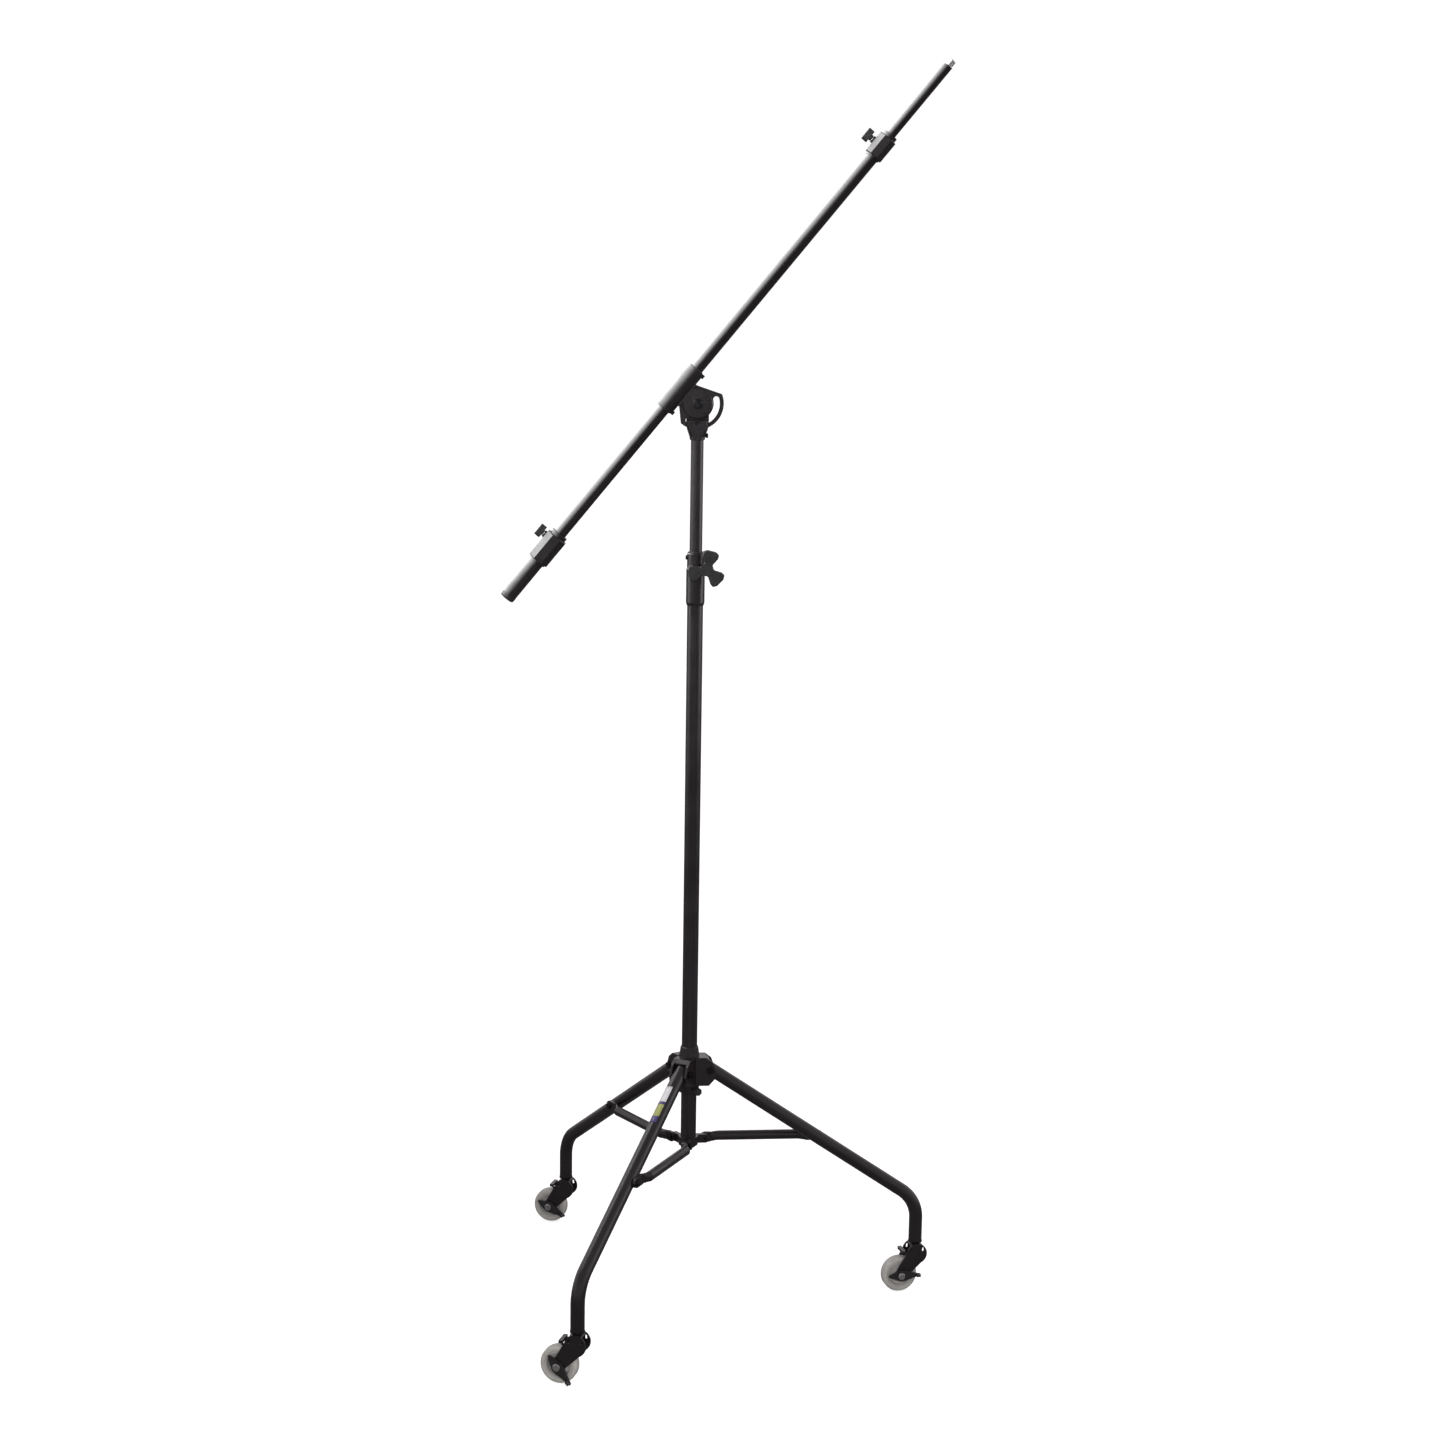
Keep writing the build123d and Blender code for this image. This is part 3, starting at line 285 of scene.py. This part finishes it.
def boom_point(along, out=0.0, side=0.0):
    """A point along the boom, out from its line away from the pivot, and across. Takes mm, gives metres."""
    lean = radians(BOOM_ANGLE)
    reach = BOOM_OFFSET + out
    x = along * cos(lean) - reach * sin(lean)
    z = PIVOT_Z + along * sin(lean) + reach * cos(lean)
    return Vector((x, side, z)) * MM


def leg_point(radius, above, turn):
    """A point about the front leg's line: turn is from the upper side towards the viewer's left."""
    azimuth, slope = radians(FRONT_LEG_AZIMUTH), radians(LEG_SLOPE)
    outward = Vector((cos(azimuth), sin(azimuth), 0.0))
    left = Vector((sin(azimuth), -cos(azimuth), 0.0))
    upper = outward * sin(slope) + Vector((0.0, 0.0, cos(slope)))
    centre = outward * radius + Vector((0.0, 0.0, LEG_LINE_HEIGHT - tan(slope) * radius))
    return (centre + (upper * cos(turn) + left * sin(turn)) * above) * MM


def grid_piece(name, rows, looks, look_of_row):
    """A mesh from rows of points, every row closed into a ring, with both ends capped."""
    count = len(rows[0])
    points = [point for row in rows for point in row]
    faces, finish = [], []
    for k in range(len(rows) - 1):
        for j in range(count):
            a, b = k * count + j, k * count + (j + 1) % count
            faces.append((a, b, b + count, a + count))
            finish.append(look_of_row(k))
    faces.append(tuple(range(count - 1, -1, -1)))
    faces.append(tuple(range(len(points) - count, len(points))))
    finish += [look_of_row(0), look_of_row(len(rows) - 2)]
    mesh = bpy.data.meshes.new(name)
    mesh.from_pydata(points, [], faces)
    for look in looks:
        mesh.materials.append(LOOKS[look])
    for face, index in zip(mesh.polygons, finish):
        face.material_index = index
        face.use_smooth = len(face.vertices) == 4
    mesh.update()
    piece = bpy.data.objects.new(name, mesh)
    bpy.context.scene.collection.objects.link(piece)
    return piece


def leg_label():
    """Worn text-free film on the front leg: a white length, then narrow violet bands round a yellow one."""
    white, violet, yellow = 0, 1, 2
    bands = ((80.0, 113.0, white), (113.0, 119.0, violet), (119.0, 144.0, yellow), (144.0, 157.0, violet))
    start, end, steps, rows_per_band = radians(-22.0), radians(88.0), 16, 6
    skin, film = LEG_R + 0.05, LEG_R + 0.30
    rows, band_of_row = [], []
    for low, high, band in bands:
        for step in range(rows_per_band):
            rows.append(low + (high - low) * step / rows_per_band)
            band_of_row.append(band)
    rows.append(bands[-1][1])
    rings = []
    for radius in rows:
        turns = [start + (end - start) * j / steps for j in range(steps + 1)]
        outside = [leg_point(radius, film, turn) for turn in turns]
        inside = [leg_point(radius, skin, turn) for turn in reversed(turns)]
        rings.append(outside + inside)
    films = ("film_white", "film_violet", "film_yellow")
    label = grid_piece("leg_label", rings, films, lambda k: band_of_row[k])
    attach(label, "leg_3")


def thread_radius(along, turn, major, depth, pitch):
    """Radius of a single-start V thread."""
    phase = (along / pitch - turn / (2 * pi)) % 1.0
    return major - depth * abs(2.0 * phase - 1.0)


def threaded_tip():
    """Microphone thread on the extension's end: plug, thin collar, cut thread, chamfer and a centre hole."""
    major, depth, pitch, steps = 7.9, 0.56, 0.94, 48
    shoulder = EXTENSION_HEAD + 1.6
    plain = [(EXTENSION_HEAD - 25.0, EXTENSION_BORE_R - 0.02), (EXTENSION_HEAD, EXTENSION_BORE_R - 0.02),
             (EXTENSION_HEAD + 0.02, EXTENSION_R - 0.1), (EXTENSION_HEAD + 0.3, EXTENSION_R + 0.3),
             (shoulder - 0.3, EXTENSION_R + 0.3), (shoulder, EXTENSION_R - 0.1),
             (shoulder + 0.02, major - depth)]
    rows = [[(along, radius)] * steps for along, radius in plain]
    turns = [2 * pi * j / steps for j in range(steps)]
    count = 100
    for k in range(count + 1):
        along = shoulder + 0.1 + (TIP_END - shoulder - 0.1) * k / count
        lead = major - max(0.0, along - (TIP_END - 1.3)) * 0.95
        rows.append([(along, min(lead, thread_radius(along, turn, major, depth, pitch))) for turn in turns])
    rows += [[(TIP_END, 3.6)] * steps, [(TIP_END - 0.4, 3.2)] * steps, [(TIP_END - 9.0, 3.2)] * steps]
    rings = []
    for row in rows:
        rings.append([boom_point(along, radius * cos(turn), radius * sin(turn))
                      for (along, radius), turn in zip(row, turns)])
    tip = grid_piece("threaded_tip", rings, ("bright_thread",), lambda k: 0)
    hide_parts("tip_stud")
    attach(tip, "extension")


def knob_washer(name, along, low, body):
    """Bright dished washer between a collar's boss and its T-knob."""
    profile = ((4.3, 0.0), (6.9, 0.0), (7.4, 0.35), (7.3, 0.9), (6.2, 1.35), (4.3, 1.35))
    steps = 40
    rings = []
    for k in range(steps):
        turn = 2 * pi * k / steps
        rings.append([boom_point(along + r * cos(turn), low + h, r * sin(turn)) for r, h in profile])
    count = len(profile)
    points = [point for ring in rings for point in ring]
    faces = []
    for k in range(steps):
        for j in range(count):
            a, b = k * count + j, k * count + (j + 1) % count
            c, d = ((k + 1) % steps) * count + (j + 1) % count, ((k + 1) % steps) * count + j
            faces.append((a, d, c, b))
    mesh = bpy.data.meshes.new(name)
    mesh.from_pydata(points, [], faces)
    mesh.materials.append(LOOKS["zinc"])
    mesh.update()
    washer = bpy.data.objects.new(name, mesh)
    bpy.context.scene.collection.objects.link(washer)
    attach(washer, body)


def add_fine_pieces():
    leg_label()
    threaded_tip()
    knob_washer("extension_knob_washer", EXTENSION_KNOB_AT, EXTENSION_WASHER_LOW, "extension_knob")
    knob_washer("weight_knob_washer", WEIGHT_KNOB_AT, WEIGHT_WASHER_LOW, "weight_knob")


# ---------------------------------------------------------------- studio

def make_camera():
    data = bpy.data.cameras.new("camera")
    data.lens = LENS
    data.sensor_width = SENSOR
    camera = bpy.data.objects.new("camera", data)
    bpy.context.scene.collection.objects.link(camera)
    yaw = Matrix.Rotation(radians(CAMERA_YAW), 4, "Z")
    pitch = Matrix.Rotation(radians(90.0 + CAMERA_PITCH), 4, "X")
    roll = Matrix.Rotation(radians(CAMERA_ROLL), 4, "Z")
    camera.matrix_world = Matrix.Translation(CAMERA_AT) @ (yaw @ pitch @ roll)
    bpy.context.scene.camera = camera


def softbox(name, at, target, size, energy, spread=180.0, mirrored=True):
    data = bpy.data.lights.new(name, "AREA")
    data.shape = "RECTANGLE"
    data.size, data.size_y = size
    data.energy = energy
    data.spread = radians(spread)
    lamp = bpy.data.objects.new(name, data)
    bpy.context.scene.collection.objects.link(lamp)
    aim = (Vector(target) - Vector(at)).to_track_quat("-Z", "Y").to_matrix().to_4x4()
    lamp.matrix_world = Matrix.Translation(at) @ aim
    lamp.visible_camera = False
    lamp.visible_glossy = mirrored


def boom_strips(middle):
    """An arc of long strip lamps over the boom, seen only as a reflection along its upper left side."""
    lean = radians(BOOM_ANGLE)
    along = Vector((cos(lean), 0.0, sin(lean)))
    above = Vector((-sin(lean), 0.0, cos(lean)))
    front = Vector((0.0, -1.0, 0.0))
    length, width, distance = 1.8, 0.52, 1.3
    lamps = ((60.0, 1.0), (38.0, 2.2), (16.0, 3.0), (-6.0, 3.4), (-28.0, 2.8), (-50.0, 1.6))
    for index, (turn, energy) in enumerate(lamps):
        facing = above * cos(radians(turn)) + front * sin(radians(turn))
        data = bpy.data.lights.new(f"boom_strip_{index}", "AREA")
        data.shape = "RECTANGLE"
        data.size, data.size_y = length, width
        data.energy = energy
        data.spread = radians(50.0)
        lamp = bpy.data.objects.new(f"boom_strip_{index}", data)
        bpy.context.scene.collection.objects.link(lamp)
        aim = Matrix((along, facing.cross(along), facing)).transposed().to_4x4()
        lamp.matrix_world = Matrix.Translation(middle + facing * distance) @ aim
        lamp.visible_camera = False
        lamp.visible_diffuse = False


def make_floor():
    """A wide pale floor that runs out to the white surroundings."""
    material, tree, output, coords = new_tree("pale_floor")
    grain = ramp(tree, noise(tree, coords, 3.0, 3.0), 0.3, 0.7, 0.90, 0.93)
    shade = add(tree, "ShaderNodeCombineColor", {"Red": grain, "Green": grain, "Blue": grain}).outputs[0]
    seen = add(tree, "ShaderNodeBsdfDiffuse", {"Color": shade}).outputs[0]
    glow = add(tree, "ShaderNodeEmission", {"Color": (1, 1, 1, 1), "Strength": 0.62}).outputs[0]
    lit = add(tree, "ShaderNodeAddShader")
    tree.links.new(seen, lit.inputs[0])
    tree.links.new(glow, lit.inputs[1])
    dim = add(tree, "ShaderNodeBsdfDiffuse", {"Color": (0.22, 0.22, 0.22, 1.0)}).outputs[0]
    seen_directly = add(tree, "ShaderNodeLightPath").outputs["Is Camera Ray"]
    choose = add(tree, "ShaderNodeMixShader", {"Fac": seen_directly})
    tree.links.new(dim, choose.inputs[1])
    tree.links.new(lit.outputs[0], choose.inputs[2])
    tree.links.new(choose.outputs[0], output.inputs["Surface"])
    radius, steps, below = 60.0, 96, -0.0002
    turns = [2 * pi * k / steps for k in range(steps)]
    rim = [(radius * cos(turn), radius * sin(turn), below) for turn in turns]
    mesh = bpy.data.meshes.new("floor")
    mesh.from_pydata(rim, [], [tuple(range(steps))])
    mesh.materials.append(material)
    floor = bpy.data.objects.new("floor", mesh)
    bpy.context.scene.collection.objects.link(floor)


def make_world():
    """White to the camera; dimmer for the tubes to mirror, above and on the camera's side."""
    world = bpy.data.worlds.new("studio")
    bpy.context.scene.world = world
    world.use_nodes = True
    tree = world.node_tree
    tree.nodes.clear()
    output = add(tree, "ShaderNodeOutputWorld")
    coords = add(tree, "ShaderNodeTexCoord").outputs["Generated"]
    parts = add(tree, "ShaderNodeSeparateXYZ", {"Vector": coords})
    behind = ramp(tree, parts.outputs["Y"], -0.9, 0.7, 0.56, 1.1)
    overhead = ramp(tree, parts.outputs["Z"], 0.35, 0.85, 1.0, 0.45)
    strength = maths(tree, "MULTIPLY", behind, overhead)
    room = add(tree, "ShaderNodeBackground", {"Color": (1.0, 0.955, 0.985, 1.0), "Strength": strength})
    white = add(tree, "ShaderNodeBackground", {"Color": (1, 1, 1, 1), "Strength": 1.02})
    seen_directly = add(tree, "ShaderNodeLightPath").outputs["Is Camera Ray"]
    choose = add(tree, "ShaderNodeMixShader", {"Fac": seen_directly})
    tree.links.new(room.outputs[0], choose.inputs[1])
    tree.links.new(white.outputs[0], choose.inputs[2])
    tree.links.new(choose.outputs[0], output.inputs["Surface"])


def make_studio():
    bpy.context.scene.view_settings.view_transform = "Standard"
    make_camera()
    make_world()
    make_floor()
    boom_middle = (0.084, 0.0, 1.942)
    boom_strips(Vector(boom_middle))
    softbox("key_upper_left", (-2.2, 0.9, 3.6), (0.1, 0.0, 1.9), (2.4, 1.6), 6.0)
    softbox("front_low", (0.3, -3.2, 1.3), (0.0, 0.0, 0.1), (2.0, 1.0), 45.0, mirrored=False)
    softbox("side_left", (-2.2, -0.1, 1.8), (0.0, 0.0, 1.65), (1.6, 1.6), 2.5, 50.0)
    softbox("side_right", (2.2, -0.1, 1.8), (0.0, 0.0, 1.65), (1.6, 1.6), 2.5, 50.0)


dress_cad()
add_fine_pieces()
make_studio()
